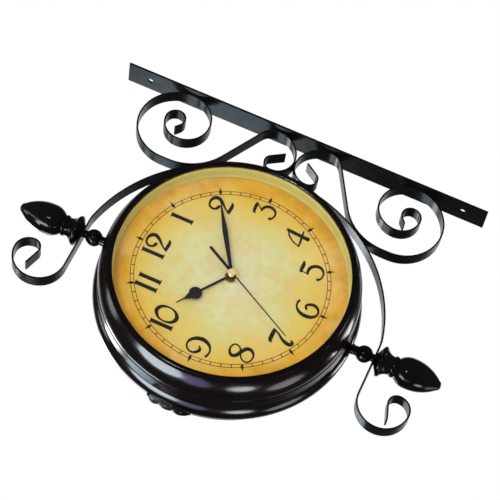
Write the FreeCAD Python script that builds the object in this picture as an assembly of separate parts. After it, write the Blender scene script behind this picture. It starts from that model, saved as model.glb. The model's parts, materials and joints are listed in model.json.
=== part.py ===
import FreeCAD, Part
import math
import os
from FreeCAD import Vector

# Double-sided wall clock on a wrought scroll bracket. Millimetres, +Z up.
# The wall is the plane x = 0, the clock hangs on its -X side and its front dial faces -Y.

# Fits
fit_clearance = 0.05
seat_gap = 0.1
overrun = 1.0

# Wall plate
plate_length = 346.0
plate_width = 25.0
plate_thickness = 2.0
plate_hole_diameter = 5.5
plate_hole_inset = 21.5

# Flat bar of the scrolls and the arm, bent on the flat
strap_width = 12.5
strap_thickness = 1.5

# Scrolls, drawn for the upper one
scroll_seat_height = 108.0
scroll_crown_radius = 36.0
scroll_flank_drop = 6.5
scroll_waist_radius = 48.0
scroll_tail = 5.5
coil_radius_shares = (0.71, 0.61, 0.49, 0.26, 0.22)
coil_turns = (90, 90, 90, 90, 130)
curl_entry_radius = 15.0
curl_radius = 24.05
curl_arm_gap = 1.0
curl_radius_shares = (1.0, 0.68, 0.33, 0.27)
curl_turns = (90, 90, 90, 56)
curl_tail = 14.0

# Arm round the case: a great arc about a centre set back from the case axis, level at its ends
arm_setback = 11.4
arm_level_turn = 12
arm_level_radius = 30.0
arm_level_run = 49.0
arm_curl_radius = 23.5
arm_curl_radius_shares = (1.0, 0.94, 0.54, 0.32)
arm_curl_turns = (90, 90, 90, 108)
arm_curl_tail = 14.5

# Pivots above and below the case
spindle_radius = 2.5
spindle_grip = 20.0
spindle_reach = 5.5
ball_radius = 7.5
ball_upper_neck_radius = 3.5
ball_upper_neck = 2.2
ball_lower_neck_radius = 4.2
ball_lower_neck = 2.9
finial_radius = 13.6
finial_height = 59.5
finial_seat_share = 0.37
nut_width = 8.0
nut_height = 4.0
pivot_gap = 0.2
bush_radius = 4.5
bush_flange_radius = 7.0
bush_flange_thickness = 1.5
bush_proud = 1.6

# Finial outline: radius shares and height shares, a pair of points being an arc
finial_rim_shares = (0.97, 0.07)
finial_rim_top_shares = ((1.0, 0.09), (0.95, 0.12))
finial_neck_shares = ((0.69, 0.18), (0.61, 0.25))
finial_collar_shares = ((0.70, 0.285), (0.63, 0.32))
finial_bud_shares = ((0.93, 0.42), (1.0, 0.52))
finial_taper_shares = ((0.79, 0.78), (0.33, 0.95))

# Case, outwards from the dial opening
opening_radius = 100.0
glass_overlap = 1.5
skirt_sheet = 1.75
case_sheet = 1.2
moulding_rise = 6.4
moulding_bulge = 2.4
wall_step = 0.6
side_wall = 13.0
bead_rise = 3.2
band_half_width = 9.0
spigot_sheet = 2.15
spigot_length = 4.0
spigot_web_gap = 0.5

# Case, inwards from the front of the bezel
case_half_depth = 48.0
mouth_setback = 3.5
bezel_crown = 0.9
bezel_groove = 0.5
lip_thickness = 2.2
skirt_length = 7.8
glass_thickness = 2.0
dial_ring_depth = 13.05
dial_ring_setback = 0.2
dial_ring_flare = 1.3
dial_thickness = 0.8
tray_sheet = 1.0
tray_margin = 0.3
tray_flange = 8.0
tray_brim_inset = 0.85

# Rear half of the case, let in and shallower than the front
rear_wall_step = 2.0
rear_wall_length = 4.2
rear_bulge_height = 0.3
rear_hand_room = 0.65
movement_gap = 1.15

# Crest at nine o'clock on the band
crest_angle = 178.6
crest_span = 19.8
crest_lobe_shares = (0.31, 0.31, 0.38)
crest_base_height = 1.3
crest_base_width = 6.5
crest_height = 5.0
crest_valley_share = 0.74
crest_rib_width = 1.4
crest_thickness = 3.0

# Quartz movement
movement_wall = 1.2
movement_corner_radius = 4.0
train_room_height = 11.2
neck_radius = 4.0
neck_proud = 1.1
dial_nut_width = 11.0
dial_nut_height = 2.0
battery_radius = 7.1
battery_length = 49.5
battery_nub_radius = 2.7
battery_nub_length = 1.0
battery_play_gap = 0.2
battery_back_gap = 0.5
contact_depth = 1.55
contact_thickness = 0.4
contact_width = 8.0
contact_height = 5.4

# Gear train: tooth counts, levels and places round the centre arbor
rotor_pinion_teeth = 6
intermediate_teeth = 30
intermediate_pinion_teeth = 6
seconds_teeth = 36
seconds_pinion_teeth = 6
third_teeth = 48
third_pinion_teeth = 6
centre_teeth = 45
cannon_pinion_teeth = 10
setting_teeth = 30
setting_pinion_teeth = 8
hour_teeth = 32
tooth_tip_share = 0.7
tooth_root_share = 1.1
train_distance = 10.8
setting_offset = 0.7
rotor_distance = 8.1
third_direction = 165
intermediate_direction = 75
rotor_direction = 40
setting_direction = 0
wheel_thickness = 0.9
level_spacing = 1.5
first_level_gap = 0.35
hour_level = 1
setting_level = 2
centre_level = 3
third_level = 4
seconds_level = 5
rotor_level = 6
arbor_radius = 0.6
seconds_shaft_radius = 0.5
minute_tube_radius = 1.6
hour_tube_radius = 2.5
setting_shaft_radius = 1.0
knob_radius = 5.0
knob_height = 2.5
knob_gap = 0.4
boss_radius = 1.8
boss_bite_depth = 1.6
boss_clear_gap = 0.5

# Stepping motor and its circuit board
magnet_radius = 2.0
magnet_height = 1.4
rotor_gap = 0.6
stator_thickness = 1.0
stator_left_width = 14.0
stator_right_width = 13.0
stator_bar_height = 6.9
stator_leg_width = 4.0
stator_lift_height = 3.75
core_height = 3.0
post_radius = 1.2
coil_radius = 3.4
coil_bore_radius = 1.7
coil_bar_gap = 0.6
coil_top_gap = 0.3
coil_end_gap = 0.6
board_margin_width = 1.3
board_width = 11.0
board_height = 10.0
board_thickness = 0.8
chip_radius = 2.6
chip_height = 0.9

# Hands
hand_thickness = 0.6
hour_hand_gap = 0.55
minute_hand_gap = 1.2
second_hand_gap = 0.8
hour_hand_angle = 304.8
minute_hand_angle = 58.6
second_hand_angle = 208.8
hour_hand_length = 54.0
hour_hub_radius = 4.0
hour_rod_width = 2.0
hour_disc_radius = 5.6
hour_disc_reach = 35.0
hour_nose_width = 9.8
hour_nose_reach = 45.5
hour_needle_width = 1.3
minute_hand_length = 71.0
minute_hub_radius = 3.4
minute_root_width = 2.4
minute_leaf_width = 4.6
minute_leaf_reach = 42.0
second_hand_length = 72.5
second_tail_length = 30.0
second_hub_radius = 2.0
second_needle_width = 1.0
second_tail_width = 2.4
tip_width = 0.6
tube_proud = 0.4
hand_nut_radius = 3.3
hand_nut_height = 1.6

# Radii of the case, each from its neighbour
glass_radius = opening_radius + glass_overlap
pocket_radius = glass_radius + seat_gap
skirt_radius = pocket_radius + skirt_sheet
mouth_bore_radius = skirt_radius + fit_clearance
mouth_radius = mouth_bore_radius + case_sheet
rim_radius = mouth_radius + moulding_rise
wall_radius = rim_radius + wall_step
spigot_radius = wall_radius - case_sheet - fit_clearance
band_bore_radius = spigot_radius - spigot_sheet
rear_wall_radius = wall_radius - rear_wall_step
rear_spigot_radius = rear_wall_radius - case_sheet - fit_clearance
rear_bore_radius = rear_spigot_radius - spigot_sheet
band_radius = wall_radius + bead_rise
dial_radius = glass_radius - seat_gap
dial_ring_mouth_radius = opening_radius - dial_ring_setback
dial_ring_inner_radius = dial_ring_mouth_radius - dial_ring_flare
tray_radius = mouth_bore_radius - tray_margin

# Depths of the case from its mid-plane
mouth_depth = case_half_depth - mouth_setback
glass_front = case_half_depth - lip_thickness
glass_back = glass_front - glass_thickness
skirt_end = glass_front - skirt_length
dial_front = glass_back - dial_ring_depth
dial_back = dial_front - dial_thickness
spigot_end = band_half_width + spigot_length
web_depth = bush_flange_radius + spigot_web_gap
wall_end = band_half_width + side_wall

# Depths of the movement, towards the front from the mid-plane of the case
plate_inside = dial_back - movement_wall
battery_depth = plate_inside - battery_radius - seat_gap
cover_depth = battery_depth - battery_radius - battery_back_gap
knob_front = cover_depth - movement_wall - knob_gap
knob_back = knob_front - knob_height
neck_front = dial_front + dial_nut_height + neck_proud
stator_front = plate_inside - stator_lift_height
stator_back = stator_front - stator_thickness
boss_front = plate_inside - first_level_gap - rotor_level * level_spacing + boss_clear_gap
pivot_front = plate_inside + movement_wall / 2 - fit_clearance
pivot_back = boss_front - boss_bite_depth + fit_clearance
hour_hand_back = neck_front + hour_hand_gap
hour_tube_front = hour_hand_back + hand_thickness + tube_proud
minute_hand_back = hour_hand_back + hand_thickness + minute_hand_gap
hand_nut_back = minute_hand_back + hand_thickness
hand_nut_front = hand_nut_back + hand_nut_height
minute_tube_front = hand_nut_front - tube_proud
second_hand_back = hand_nut_front + second_hand_gap
seconds_shaft_front = second_hand_back + hand_thickness + tube_proud

# Depths of the rear half: its dial clears the front movement, the bezel's seat and the bush flanges
movement_reach = dial_back - knob_back
rear_ring_depth = seconds_shaft_front - dial_front + rear_hand_room
movement_room = movement_gap - knob_back + movement_reach
skirt_foot = spigot_end + tray_sheet + seat_gap
skirt_room = skirt_foot + skirt_length - glass_thickness - rear_ring_depth - dial_thickness
rear_dial_back = max(movement_room, skirt_room, web_depth + tray_sheet)
rear_dial_front = rear_dial_back + dial_thickness
rear_glass_back = rear_dial_front + rear_ring_depth
rear_half_depth = rear_glass_back + glass_thickness + lip_thickness
rear_mouth_depth = rear_half_depth - mouth_setback
rear_wall_end = band_half_width + rear_wall_length
rear_dial_setback = dial_front - rear_dial_front
rear_bezel_setback = case_half_depth - rear_half_depth

# Heights of the pivots
bush_top = band_radius + bush_proud
flange_top = math.sqrt(band_bore_radius ** 2 - bush_flange_radius ** 2) - seat_gap
bush_bottom = flange_top - bush_flange_thickness
nut_top = bush_bottom - pivot_gap
spindle_end = nut_top - spindle_reach
ball_foot = bush_top + pivot_gap
ball_fall = math.sqrt(ball_radius ** 2 - ball_lower_neck_radius ** 2)
ball_rise = math.sqrt(ball_radius ** 2 - ball_upper_neck_radius ** 2)
ball_height = ball_foot + ball_lower_neck + ball_fall
arm_underside = ball_height + ball_rise + ball_upper_neck
arm_height = arm_underside + strap_thickness / 2
arm_top = arm_underside + strap_thickness

# Arm and scrolls: the curl fills the room between arm and plate, the flank brings the waist to the arm
great_turn = 90 - arm_level_turn
level_rise = arm_level_radius * (1 - math.cos(math.radians(arm_level_turn)))
arm_radius = (arm_height - level_rise) / math.sin(math.radians(great_turn))
curl_reach = curl_radius * (curl_radius_shares[0] + curl_radius_shares[1])
seat_reach = arm_radius + strap_thickness + curl_arm_gap + curl_reach
strap_seat_x = -plate_thickness - seat_gap - strap_thickness / 2
axis_x = strap_seat_x - seat_reach + arm_setback
waist_to_arm = arm_radius + strap_thickness + seat_gap + scroll_waist_radius
loop_height = scroll_seat_height + scroll_crown_radius - scroll_flank_drop
loop_width = seat_reach - scroll_crown_radius + scroll_waist_radius
loop_root = math.sqrt(2 * waist_to_arm ** 2 - (loop_height - loop_width) ** 2)
scroll_flank_radius = (loop_height + loop_width - loop_root) / 2
waist_height = loop_height - scroll_flank_radius
waist_x = strap_seat_x - scroll_crown_radius - scroll_flank_radius + scroll_waist_radius

case_centre = Vector(axis_x, 0, 0)
across = Vector(1, 0, 0)
along = Vector(0, 1, 0)
up = Vector(0, 0, 1)


def save(name, *solids):
    """Writes one node, of one solid or of several alike ones."""
    shape = solids[0] if len(solids) == 1 else Part.makeCompound(list(solids))
    shape.exportStep("parts/" + name + ".step")


def turned_round(shape, setback=0):
    """Copy for the rear face: half a turn about the vertical axis of the case, and set back towards it."""
    copy = shape.copy()
    copy.rotate(case_centre, up, 180)
    copy.translate(along * -setback)
    return copy


def turned_over(shape):
    """Copy for the lower pivot: half a turn about the dial axis."""
    copy = shape.copy()
    copy.rotate(case_centre, along, 180)
    return copy


def outline(place, start, *steps):
    """Closed wire; a step is an end point, or a pair of a point on an arc and the arc's end."""
    edges = []
    here = place(*start)
    for step in steps + (start,):
        if isinstance(step[0], tuple):
            through, end = step
            there = place(*end)
            edges.append(Part.Arc(here, place(*through), there).toShape())
        else:
            there = place(*step)
            edges.append(Part.makeLine(here, there))
        here = there
    return Part.Wire(edges)


def on_case(radius, depth):
    """Point of a case profile: radius from the dial axis, depth towards the front from mid-plane."""
    return Vector(axis_x + radius, -depth, 0)


def on_spindle(radius, height):
    """Point of a pivot profile: radius from the vertical axis, height above the case centre."""
    return Vector(axis_x + radius, 0, height)


def spun(*steps):
    """Ring turned about the dial axis."""
    return Part.Face(outline(on_case, *steps)).revolve(case_centre, along, 360)


def lathe(*steps):
    """Piece turned about the vertical axis."""
    return Part.Face(outline(on_spindle, *steps)).revolve(case_centre, up, 360)


def upright(radius, low, high):
    """Round bar on the vertical axis of the case."""
    return Part.makeCylinder(radius, high - low, Vector(axis_x, 0, low), up)


def dial_bar(radius, back, front, place=(0, 0)):
    """Round bar along the dial axis between two depths, at a place across the movement."""
    return Part.makeCylinder(radius, front - back, Vector(axis_x + place[0], -front, place[1]), along)


def hexagon(width, low, height, bore):
    """Hexagon nut with its bore on the Z axis."""
    corner = width / math.sqrt(3)
    points = [Vector(corner * math.cos(math.radians(a)), corner * math.sin(math.radians(a)), low)
              for a in range(0, 361, 60)]
    body = Part.Face(Part.makePolygon(points)).extrude(up * height)
    return body.cut(Part.makeCylinder(bore, height, Vector(0, 0, low), up))


def block(left, right, back, front, bottom, top):
    """Box across the movement: X from the dial axis, depth towards the front, Z."""
    corner = Vector(axis_x + left, -front, bottom)
    return Part.makeBox(right - left, front - back, top - bottom, corner)


# Bent flat bar

def bend(radius, turn):
    """Bend of a strap's middle line; left turns are positive."""
    return (radius, turn)


def run(length):
    """Straight stretch of a strap."""
    return (length, 0)


def flipped(steps):
    """The same bends in the mirror."""
    return [(size, -turn) for size, turn in steps]


def swung(vector, degrees):
    """Vector turned in the plane of the bracket, from +X towards +Z."""
    angle = math.radians(degrees)
    return Vector(vector.x * math.cos(angle) - vector.z * math.sin(angle), 0,
                  vector.x * math.sin(angle) + vector.z * math.cos(angle))


def strap_edges(start, heading, steps):
    """Both faces of a bent strap from its start, and the square end."""
    edges = []
    here = start
    for size, turn in steps:
        ahead = swung(across, heading)
        left = swung(across, heading + 90) * (strap_thickness / 2)
        centre = here + swung(across, heading + math.copysign(90, turn)) * size
        for side in (left, -left):
            face = here + side
            if turn == 0:
                edges.append(Part.makeLine(face, face + ahead * size))
            else:
                middle = centre + swung(face - centre, turn / 2)
                end = centre + swung(face - centre, turn)
                edges.append(Part.Arc(face, middle, end).toShape())
        here = here + ahead * size if turn == 0 else centre + swung(here - centre, turn)
        heading += turn
    left = swung(across, heading + 90) * (strap_thickness / 2)
    edges.append(Part.makeLine(here + left, here - left))
    return edges


def strap(edges):
    """Flat bar standing on edge across the bracket's plane."""
    face = Part.Face(Part.Wire(Part.sortEdges(edges)[0]))
    face.translate(along * (-strap_width / 2))
    return face.extrude(along * strap_width)


# Middle line of the scroll: the waist bend runs into the diagonal and the diagonal into the curl
waist_centre = Vector(waist_x, 0, waist_height)
curl_seat_height = (strap_thickness + seat_gap) / 2 + curl_radius
curl_centre = Vector(strap_seat_x - curl_entry_radius, 0, curl_seat_height)
waist_to_curl = curl_centre - waist_centre
bends = scroll_waist_radius + curl_entry_radius
diagonal_length = math.sqrt(waist_to_curl.Length ** 2 - bends ** 2)
diagonal_heading = math.degrees(math.atan2(waist_to_curl.z, waist_to_curl.x)
                                + math.asin(bends / waist_to_curl.Length))
waist_turn = diagonal_heading + 90
arm_middle = Vector(axis_x - arm_setback + arm_radius, 0, 0)


def make_wall_plate():
    plate = Part.makeBox(plate_thickness, plate_width, plate_length,
                         Vector(-plate_thickness, -plate_width / 2, -plate_length / 2))
    for side in (1, -1):
        start = Vector(-plate_thickness - overrun, 0, side * (plate_length / 2 - plate_hole_inset))
        hole = Part.makeCylinder(plate_hole_diameter / 2, plate_thickness + 2 * overrun, start, across)
        plate = plate.cut(hole)
    return plate


def make_scroll(side):
    """S-scroll between the plate and the arm: side 1 is the upper one, -1 the lower."""
    outward = [bend(scroll_crown_radius, 90), bend(scroll_flank_radius, 90), run(scroll_flank_drop),
               bend(scroll_waist_radius, waist_turn), run(diagonal_length),
               bend(curl_entry_radius, -waist_turn)]
    outward += [bend(curl_radius * share, -turn) for share, turn in zip(curl_radius_shares, curl_turns)]
    outward.append(run(curl_tail))
    inward = [bend(scroll_crown_radius * share, -turn)
              for share, turn in zip(coil_radius_shares, coil_turns)]
    inward.append(run(scroll_tail))
    if side < 0:
        outward, inward = flipped(outward), flipped(inward)
    seat = Vector(strap_seat_x, 0, side * scroll_seat_height)
    return strap(strap_edges(seat, side * 90, outward) + strap_edges(seat, -side * 90, inward))


def make_arm():
    half = [bend(arm_radius, great_turn), bend(arm_level_radius, arm_level_turn), run(arm_level_run)]
    half += [bend(arm_curl_radius * share, -turn)
             for share, turn in zip(arm_curl_radius_shares, arm_curl_turns)]
    half.append(run(arm_curl_tail))
    arm = strap(strap_edges(arm_middle, 90, half) + strap_edges(arm_middle, -90, flipped(half)))
    bore = upright(spindle_radius + fit_clearance, -arm_top - overrun, arm_top + overrun)
    return arm.cut(bore)


def make_finial():
    """Bud finial on a flared skirt, bored from below for the spindle."""
    def scaled(shares):
        if isinstance(shares[0], tuple):
            return tuple(scaled(point) for point in shares)
        return (shares[0] * finial_radius, arm_top + shares[1] * finial_height)
    shapes = (finial_rim_shares, finial_rim_top_shares, finial_neck_shares, finial_collar_shares,
              finial_bud_shares, finial_taper_shares)
    steps = [scaled(shares) for shares in shapes]
    cap_radius, cap_height = steps[-1][-1]
    top = arm_top + finial_height
    cap_rise = top - cap_height
    cap_sphere = (cap_radius ** 2 + cap_rise ** 2) / (2 * cap_rise)
    half_angle = math.asin(cap_radius / cap_sphere) / 2
    cap_middle = (cap_sphere * math.sin(half_angle), top - cap_sphere * (1 - math.cos(half_angle)))
    body = lathe((0, arm_top), (finial_seat_share * finial_radius, arm_top), *steps, (cap_middle, (0, top)))
    bore = upright(spindle_radius + fit_clearance, arm_top - overrun, arm_top + spindle_grip + fit_clearance)
    return body.cut(bore)


def make_ball():
    """Turned ball between the case and the arm, with a neck at each end."""
    bore = spindle_radius + fit_clearance
    return lathe((bore, ball_foot), (ball_lower_neck_radius, ball_foot),
                 (ball_lower_neck_radius, ball_height - ball_fall),
                 ((ball_radius, ball_height), (ball_upper_neck_radius, ball_height + ball_rise)),
                 (ball_upper_neck_radius, arm_underside), (bore, arm_underside))


def make_spindle():
    return upright(spindle_radius, spindle_end, arm_top + spindle_grip)


def make_spindle_nut():
    nut = hexagon(nut_width, nut_top - nut_height, nut_height, spindle_radius + fit_clearance)
    nut.translate(case_centre)
    return nut


def make_bush():
    """Flanged bush that turns on the spindle, its flange inside the case."""
    bore = spindle_radius + fit_clearance
    return lathe((bore, bush_bottom), (bush_flange_radius, bush_bottom), (bush_flange_radius, flange_top),
                 (bush_radius, flange_top), (bush_radius, bush_top), (bore, bush_top))


def make_band():
    """Middle band of the case: a broad bead outside, a spigot for each case half."""
    band = spun((rear_bore_radius, -spigot_end), (rear_spigot_radius, -spigot_end),
                (rear_spigot_radius, -band_half_width), (wall_radius, -band_half_width),
                ((band_radius, 0), (wall_radius, band_half_width)), (spigot_radius, band_half_width),
                (spigot_radius, spigot_end), (band_bore_radius, spigot_end), (band_bore_radius, -web_depth),
                (rear_bore_radius, -web_depth))
    return band.cut(upright(bush_radius + fit_clearance, -band_radius - overrun, band_radius + overrun))


def make_front_case():
    """Spun front half: straight wall, a small step, a round moulding and the mouth for the bezel."""
    start = band_half_width + fit_clearance
    step_end = wall_end + wall_step
    bulge_radius = (rim_radius + mouth_radius) / 2 + moulding_bulge
    bulge_depth = (step_end + mouth_depth) / 2
    return spun((wall_radius, start), (wall_radius, wall_end), (rim_radius, step_end),
                ((bulge_radius, bulge_depth), (mouth_radius, mouth_depth)), (mouth_bore_radius, mouth_depth),
                ((bulge_radius - case_sheet, bulge_depth), (rim_radius - case_sheet, step_end)),
                (wall_radius - case_sheet, wall_end), (wall_radius - case_sheet, start))


def make_rear_case():
    """Spun rear half, drawn as seen from its own face: short straight wall and a sloping shoulder."""
    start = band_half_width + fit_clearance
    inner = rear_wall_radius - case_sheet
    bulge_radius = (rear_wall_radius + mouth_radius) / 2 + rear_bulge_height
    bulge_depth = (rear_wall_end + rear_mouth_depth) / 2
    return spun((rear_wall_radius, start), (rear_wall_radius, rear_wall_end),
                ((bulge_radius, bulge_depth), (mouth_radius, rear_mouth_depth)),
                (mouth_bore_radius, rear_mouth_depth),
                ((bulge_radius - case_sheet, bulge_depth), (inner, rear_wall_end)), (inner, start))


def make_bezel():
    """Bezel with a crowned lip over the glass and a skirt that slides into the mouth of the case."""
    lip_back = mouth_depth + bezel_groove
    crown_radius = (opening_radius + mouth_radius) / 2
    shoulder = case_half_depth - bezel_crown
    return spun((opening_radius, glass_front), (opening_radius, shoulder),
                ((crown_radius, case_half_depth), (mouth_radius, shoulder)), (mouth_radius, lip_back),
                (skirt_radius, lip_back), (skirt_radius, skirt_end), (pocket_radius, skirt_end),
                (pocket_radius, glass_front))


def make_glass():
    return dial_bar(glass_radius, glass_back, glass_front)


def make_dial_ring(foot, mouth):
    """Flared wall from the dial at its foot to the glass at its mouth."""
    return spun((dial_ring_inner_radius, foot), (dial_ring_mouth_radius, mouth), (glass_radius, mouth),
                (glass_radius, foot))


def make_dial():
    disc = dial_bar(dial_radius, dial_back, dial_front)
    return disc.cut(dial_bar(neck_radius + seat_gap, dial_back - overrun, dial_front + overrun))


def make_dial_tray(flange_front, seat_radius):
    """Pan that carries the dial on its flange and stands with its brim against a spigot of the band."""
    flange_back = flange_front - tray_sheet
    flange_radius = tray_radius - tray_flange
    brim_front = spigot_end + tray_sheet
    brim_radius = seat_radius - tray_brim_inset
    walls = (tray_radius - tray_sheet, tray_radius)
    near, far = walls if flange_front > spigot_end else walls[::-1]
    return spun((flange_radius, flange_front), (flange_radius, flange_back), (near, flange_back),
                (near, spigot_end), (brim_radius, spigot_end), (brim_radius, brim_front), (far, brim_front),
                (far, flange_front))


def make_crest():
    """Cast openwork crest: a curved base, and on it a wall with a wavy rim and an opening in each lobe."""
    foot = band_radius + seat_gap
    base_radius = foot + crest_base_height
    peak_radius = foot + crest_height
    valley_radius = foot + crest_height * crest_valley_share
    low, high = crest_angle - crest_span / 2, crest_angle + crest_span / 2
    feet = [low]
    for share in crest_lobe_shares:
        feet.append(feet[-1] + crest_span * share)
    lobes = list(zip(feet, feet[1:]))
    feet_radii = [base_radius] + [valley_radius] * (len(lobes) - 1) + [base_radius]

    def polar(radius, angle):
        return case_centre + swung(across, angle) * radius

    def over(angles, radii, middle_radius):
        """Arc from one angle and radius to another, through its own radius in the middle."""
        return Part.Arc(polar(radii[0], angles[0]), polar(middle_radius, sum(angles) / 2),
                        polar(radii[1], angles[1])).toShape()

    def pulled(edges, width):
        """Plate of a width along the dial axis, its middle on the mid-plane."""
        face = Part.Face(Part.Wire(Part.sortEdges(edges)[0]))
        face.translate(along * (-width / 2))
        return face.extrude(along * width)

    def level(radius):
        return over((low, high), (radius, radius), radius)

    def ends(radius):
        return [Part.makeLine(polar(foot, angle), polar(radius, angle)) for angle in (low, high)]

    rim = [over(lobe, radii, peak_radius) for lobe, radii in zip(lobes, zip(feet_radii, feet_radii[1:]))]
    wall = pulled([level(foot)] + rim + ends(base_radius), crest_thickness)
    trim = math.degrees(crest_rib_width / base_radius)
    for first, last in lobes:
        sides = (first + trim, last - trim)
        arch = over(sides, (base_radius, base_radius), peak_radius - crest_rib_width)
        chord = Part.makeLine(polar(base_radius, sides[1]), polar(base_radius, sides[0]))
        wall = wall.cut(pulled([arch, chord], crest_thickness + 2 * overrun))
    base = pulled([level(foot), level(base_radius)] + ends(base_radius), crest_base_width)
    return wall.fuse(base).removeSplitter()


# Movement, drawn for the front face: places across it are X and Z from the dial axis

def around(distance, degrees, origin=(0, 0)):
    """Place at a distance and direction from another, across the movement."""
    angle = math.radians(degrees)
    return (origin[0] + distance * math.cos(angle), origin[1] + distance * math.sin(angle))


# Places of the arbors, and the motor and the battery bay that follow from them
centre_place = (0, 0)
third_place = around(train_distance, third_direction)
intermediate_place = around(train_distance, intermediate_direction)
rotor_place = around(rotor_distance, rotor_direction, intermediate_place)
setting_distance = train_distance + setting_offset
setting_place = around(setting_distance, setting_direction)
stator_left = rotor_place[0] - stator_left_width
stator_right = rotor_place[0] + stator_right_width
bar_middle = rotor_place[1]
bar_top = bar_middle + stator_bar_height / 2
stator_bottom = bar_middle - stator_bar_height / 2
core_middle = bar_top + coil_bar_gap + coil_radius
stator_top = core_middle + core_height / 2
core_bottom = core_middle - core_height / 2
train_top = core_middle + coil_radius + coil_top_gap
movement_top = train_top + movement_wall
bay_top = -train_room_height
bay_roof = bay_top - movement_wall
bay_bottom = bay_roof - 2 * battery_radius - battery_play_gap
movement_bottom = bay_bottom - movement_wall
bay_right = (battery_length + battery_nub_length) / 2 + contact_depth
half_width = bay_right + movement_wall
battery_middle = (bay_bottom + bay_roof) / 2
post_places = ((stator_left + stator_leg_width / 2, bar_middle),
               (stator_right - stator_leg_width / 2, bar_middle))


def rounded_plate(back, front, bottom):
    """Plate of the movement with round corners, cut off at its bottom."""
    plate = block(-half_width, half_width, back, front, movement_bottom, movement_top)
    corners = [edge for edge in plate.Edges if abs(edge.tangentAt(edge.FirstParameter).y) == 1]
    plate = plate.makeFillet(movement_corner_radius, corners)
    return plate.common(block(-half_width, half_width, back, front, bottom, movement_top))


def make_housing():
    """Moulded tray with the threaded neck, the battery bay and the posts of the motor."""
    body = rounded_plate(cover_depth, dial_back, movement_bottom)
    open_back = cover_depth - overrun
    body = body.cut(block(-bay_right, bay_right, open_back, plate_inside, bay_top, train_top))
    body = body.cut(block(-bay_right, bay_right, open_back, plate_inside, bay_bottom, bay_roof))
    body = body.fuse(dial_bar(neck_radius, dial_back, neck_front))
    for place in post_places:
        body = body.fuse(dial_bar(post_radius, stator_front, plate_inside, place))
    body = body.cut(dial_bar(hour_tube_radius + fit_clearance, plate_inside - overrun, neck_front + overrun))
    socket_front = plate_inside + movement_wall / 2
    for place in (third_place, intermediate_place, rotor_place, setting_place):
        body = body.cut(dial_bar(arbor_radius + fit_clearance, plate_inside - overrun, socket_front, place))
    return body.removeSplitter()


def make_cover():
    """Rear cover over the train, with a bearing boss behind each arbor and a hole for the setting shaft."""
    cover = rounded_plate(cover_depth - movement_wall, cover_depth, bay_top)
    for place, bore in (((0, 0), seconds_shaft_radius), (third_place, arbor_radius),
                        (intermediate_place, arbor_radius), (rotor_place, arbor_radius)):
        cover = cover.fuse(dial_bar(boss_radius, cover_depth, boss_front, place))
        socket_back = boss_front - boss_bite_depth
        cover = cover.cut(dial_bar(bore + fit_clearance, socket_back, boss_front + overrun, place))
    shaft_hole = dial_bar(setting_shaft_radius + fit_clearance, cover_depth - movement_wall - overrun,
                          cover_depth + overrun, setting_place)
    return cover.cut(shaft_hole).removeSplitter()


def make_battery():
    start = Vector(axis_x - (battery_length + battery_nub_length) / 2, -battery_depth, battery_middle)
    can = Part.makeCylinder(battery_radius, battery_length, start, across)
    nub = Part.makeCylinder(battery_nub_radius, battery_nub_length, start + across * battery_length, across)
    return can.fuse(nub).removeSplitter()


def make_contact(side):
    """Folded leaf between the end wall of the bay and the battery; side -1 is the left one."""
    wall = side * bay_right
    tip = side * (battery_length + battery_nub_length) / 2 + side * seat_gap
    low = battery_middle - contact_height / 2
    high = battery_middle + contact_height / 2
    back = battery_depth - contact_width / 2
    front = battery_depth + contact_width / 2
    inner_wall = wall - side * contact_thickness
    inner_tip = tip + side * contact_thickness
    leaves = block(min(wall, inner_wall), max(wall, inner_wall), back, front, low, high)
    leaves = leaves.fuse(block(min(tip, inner_tip), max(tip, inner_tip), back, front, low, high))
    fold = block(min(wall, tip), max(wall, tip), back, front, low - contact_thickness, low)
    return leaves.fuse(fold).removeSplitter()


def make_stator():
    """Closed iron loop: a wide bar with the rotor hole, two legs and the core of the coil."""
    loop = block(stator_left, stator_right, stator_back, stator_front, stator_bottom, stator_top)
    window = block(stator_left + stator_leg_width, stator_right - stator_leg_width, stator_back - overrun,
                   stator_front + overrun, bar_top, core_bottom)
    hole = dial_bar(magnet_radius + rotor_gap, stator_back - overrun, stator_front + overrun, rotor_place)
    return loop.cut(window).cut(hole)


def make_coil():
    left = axis_x + stator_left + stator_leg_width + coil_end_gap
    length = stator_right - stator_left - 2 * stator_leg_width - 2 * coil_end_gap
    start = Vector(left, -(stator_front + stator_back) / 2, core_middle)
    coil = Part.makeCylinder(coil_radius, length, start, across)
    return coil.cut(Part.makeCylinder(coil_bore_radius, length, start, across))


def make_board():
    left = -bay_right + board_margin_width
    top = train_top - board_margin_width
    board = block(left, left + board_width, plate_inside - board_thickness, plate_inside,
                  top - board_height, top)
    middle = (left + board_width / 2, top - board_height / 2)
    chip_back = plate_inside - board_thickness - chip_height
    return board.fuse(dial_bar(chip_radius, chip_back, plate_inside - board_thickness, middle))


def gear(place, level, teeth, module, partner, tooth_there):
    """Moulded toothed disc; towards its partner it has a tooth, or else a gap."""
    pitch_radius = teeth * module / 2
    tip = pitch_radius + tooth_tip_share * module
    root = pitch_radius - tooth_root_share * module
    towards = math.atan2(partner[1] - place[1], partner[0] - place[0])
    first = towards if tooth_there else towards + math.pi / teeth
    front = level_back(level) + wheel_thickness
    points = []
    for corner in range(2 * teeth):
        angle = first + corner * math.pi / teeth
        radius = root if corner % 2 else tip
        points.append(Vector(axis_x + place[0] + radius * math.cos(angle), -front,
                             place[1] + radius * math.sin(angle)))
    return Part.Face(Part.makePolygon(points + points[:1])).extrude(along * wheel_thickness)


def level_back(level):
    return plate_inside - first_level_gap - (level - 1) * level_spacing - wheel_thickness


def module_of(distance, first_teeth, second_teeth):
    return 2 * distance / (first_teeth + second_teeth)


def joined(*shapes):
    """One moulded piece out of discs, pinions and arbors."""
    return shapes[0].multiFuse(list(shapes[1:])).removeSplitter()


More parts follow.
